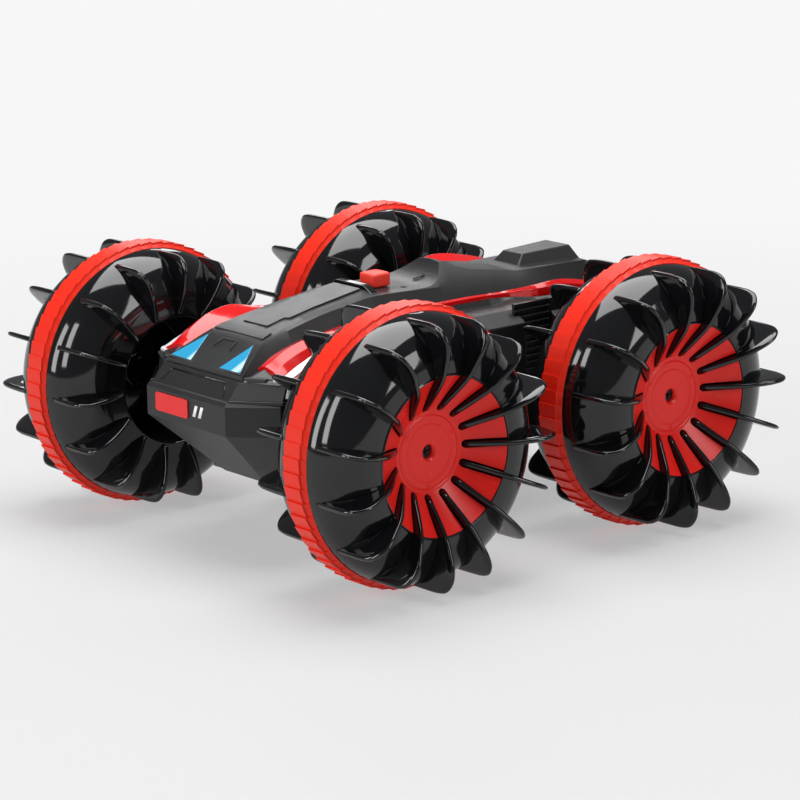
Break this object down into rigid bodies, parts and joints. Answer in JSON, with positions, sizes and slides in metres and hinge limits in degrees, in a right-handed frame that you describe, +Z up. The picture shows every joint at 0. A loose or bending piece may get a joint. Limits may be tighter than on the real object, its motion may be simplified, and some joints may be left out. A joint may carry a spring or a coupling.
{
  "type": "radio controlled stunt car",
  "caption": "Radio-controlled amphibious stunt car: faceted hull on large bladed wheels, geared in pairs on each side.",
  "frame": {"origin": "on the ground under the middle of the car", "axes": "+X to the car's left side, nose towards -Y, +Z up"},
  "size_m": [0.234, 0.238, 0.11],
  "materials": {
    "tread_red": "satin moulded rubber, orange red",
    "wheel_black": "polished moulded black",
    "hub_red": "semi-gloss moulded red",
    "panel_red": "high gloss red",
    "knob_red": "satin red",
    "badge_red": "blank gloss plate",
    "trim_white": "gloss pale grey",
    "lamp_blue": "printed pale-blue lens",
    "hull_black": "fine textured black",
    "shell_black": "fine textured black",
    "inner_black": "plain black",
    "gear_nylon": "natural nylon",
    "steel": "bright steel",
    "brass": "turned brass",
    "motor_can": "plated can",
    "seal_rubber": "soft black rubber",
    "battery_sleeve": "blue heat-shrink",
    "board_green": "solder-masked board"
  },
  "bodies": {
    "hull": {"axle_bushes": "brass", "axle_housings": "hull_black", "axle_seals": "seal_rubber", "battery_door": "hull_black", "battery_pack": "battery_sleeve", "case_screws": "steel", "circuit_board": "board_green", "gear_pins": "steel", "gear_plate_left": "inner_black", "gear_plate_right": "inner_black", "headlamps": "lamp_blue", "hull_gasket": "seal_rubber", "lower_hull": "hull_black", "motor_left": "motor_can", "motor_right": "motor_can", "nose_badge": "badge_red", "side_panel_left": "panel_red", "side_panel_right": "panel_red", "slide_switch": "inner_black", "trim_strips": "trim_white", "upper_shell": "shell_black"},
    "wheel_fl": {"fl_tread_ring": "tread_red", "fl_outer_shell": "wheel_black", "fl_inner_shell": "wheel_black", "fl_hub_cover": "hub_red", "fl_wheel_screw": "steel", "fl_axle": "steel", "left_axle_gear_front": "gear_nylon"},
    "wheel_rl": {"rl_tread_ring": "tread_red", "rl_outer_shell": "wheel_black", "rl_inner_shell": "wheel_black", "rl_hub_cover": "hub_red", "rl_wheel_screw": "steel", "rl_axle": "steel", "left_axle_gear_rear": "gear_nylon"},
    "wheel_fr": {"fr_tread_ring": "tread_red", "fr_outer_shell": "wheel_black", "fr_inner_shell": "wheel_black", "fr_hub_cover": "hub_red", "fr_wheel_screw": "steel", "fr_axle": "steel", "right_axle_gear_front": "gear_nylon"},
    "wheel_rr": {"rr_tread_ring": "tread_red", "rr_outer_shell": "wheel_black", "rr_inner_shell": "wheel_black", "rr_hub_cover": "hub_red", "rr_wheel_screw": "steel", "rr_axle": "steel", "right_axle_gear_rear": "gear_nylon"},
    "left_idler_gear_front": {"left_idler_gear_front": "gear_nylon"},
    "left_idler_gear_rear": {"left_idler_gear_rear": "gear_nylon"},
    "left_drive_gear": {"left_drive_gear": "gear_nylon"},
    "left_reduction_gear": {"left_reduction_gear": "gear_nylon"},
    "left_motor_pinion": {"left_motor_pinion": "brass"},
    "right_idler_gear_front": {"right_idler_gear_front": "gear_nylon"},
    "right_idler_gear_rear": {"right_idler_gear_rear": "gear_nylon"},
    "right_drive_gear": {"right_drive_gear": "gear_nylon"},
    "right_reduction_gear": {"right_reduction_gear": "gear_nylon"},
    "right_motor_pinion": {"right_motor_pinion": "brass"},
    "switch": {"switch_knob": "knob_red"}
  },
  "joints": [
    {"name": "wheel_fl_spin", "type": "hinge", "parent": "hull", "child": "wheel_fl", "pos_m": [0.0848, -0.064, 0.055], "axis": [1, 0, 0], "continuous": true},
    {"name": "wheel_rl_spin", "type": "hinge", "parent": "hull", "child": "wheel_rl", "pos_m": [0.0848, 0.064, 0.055], "axis": [1, 0, 0], "continuous": true},
    {"name": "wheel_fr_spin", "type": "hinge", "parent": "hull", "child": "wheel_fr", "pos_m": [-0.0848, -0.064, 0.055], "axis": [1, 0, 0], "continuous": true},
    {"name": "wheel_rr_spin", "type": "hinge", "parent": "hull", "child": "wheel_rr", "pos_m": [-0.0848, 0.064, 0.055], "axis": [1, 0, 0], "continuous": true},
    {"name": "left_idler_gear_front_spin", "type": "hinge", "parent": "hull", "child": "left_idler_gear_front", "pos_m": [0.0358, -0.034, 0.055], "axis": [1, 0, 0], "continuous": true},
    {"name": "left_idler_gear_rear_spin", "type": "hinge", "parent": "hull", "child": "left_idler_gear_rear", "pos_m": [0.0358, 0.034, 0.055], "axis": [1, 0, 0], "continuous": true},
    {"name": "left_drive_gear_spin", "type": "hinge", "parent": "hull", "child": "left_drive_gear", "pos_m": [0.0358, 0, 0.055], "axis": [1, 0, 0], "continuous": true},
    {"name": "left_reduction_gear_spin", "type": "hinge", "parent": "hull", "child": "left_reduction_gear", "pos_m": [0.0358, 0.01543, 0.07339], "axis": [1, 0, 0], "continuous": true},
    {"name": "left_motor_pinion_spin", "type": "hinge", "parent": "hull", "child": "left_motor_pinion", "pos_m": [0.0358, 0.02233, 0.06143], "axis": [1, 0, 0], "continuous": true},
    {"name": "right_idler_gear_front_spin", "type": "hinge", "parent": "hull", "child": "right_idler_gear_front", "pos_m": [-0.0358, -0.034, 0.055], "axis": [1, 0, 0], "continuous": true},
    {"name": "right_idler_gear_rear_spin", "type": "hinge", "parent": "hull", "child": "right_idler_gear_rear", "pos_m": [-0.0358, 0.034, 0.055], "axis": [1, 0, 0], "continuous": true},
    {"name": "right_drive_gear_spin", "type": "hinge", "parent": "hull", "child": "right_drive_gear", "pos_m": [-0.0358, 0, 0.055], "axis": [1, 0, 0], "continuous": true},
    {"name": "right_reduction_gear_spin", "type": "hinge", "parent": "hull", "child": "right_reduction_gear", "pos_m": [-0.0358, 0.01543, 0.07339], "axis": [1, 0, 0], "continuous": true},
    {"name": "right_motor_pinion_spin", "type": "hinge", "parent": "hull", "child": "right_motor_pinion", "pos_m": [-0.0358, 0.02233, 0.06143], "axis": [1, 0, 0], "continuous": true},
    {"name": "switch_slide", "type": "slide", "parent": "hull", "child": "switch", "axis": [1, 0, 0], "range_m": [0, 0.003]}
  ],
  "couplings": [
    {"joint": "wheel_rl_spin", "follows": "wheel_fl_spin", "ratio": 1},
    {"joint": "left_idler_gear_front_spin", "follows": "wheel_fl_spin", "ratio": -0.875},
    {"joint": "left_idler_gear_rear_spin", "follows": "wheel_fl_spin", "ratio": -0.875},
    {"joint": "left_drive_gear_spin", "follows": "wheel_fl_spin", "ratio": 0.77778},
    {"joint": "left_reduction_gear_spin", "follows": "wheel_fl_spin", "ratio": -2.3333},
    {"joint": "left_motor_pinion_spin", "follows": "wheel_fl_spin", "ratio": 8.4},
    {"joint": "wheel_rr_spin", "follows": "wheel_fr_spin", "ratio": 1},
    {"joint": "right_idler_gear_front_spin", "follows": "wheel_fr_spin", "ratio": -0.875},
    {"joint": "right_idler_gear_rear_spin", "follows": "wheel_fr_spin", "ratio": -0.875},
    {"joint": "right_drive_gear_spin", "follows": "wheel_fr_spin", "ratio": 0.77778},
    {"joint": "right_reduction_gear_spin", "follows": "wheel_fr_spin", "ratio": -2.3333},
    {"joint": "right_motor_pinion_spin", "follows": "wheel_fr_spin", "ratio": 8.4}
  ]
}
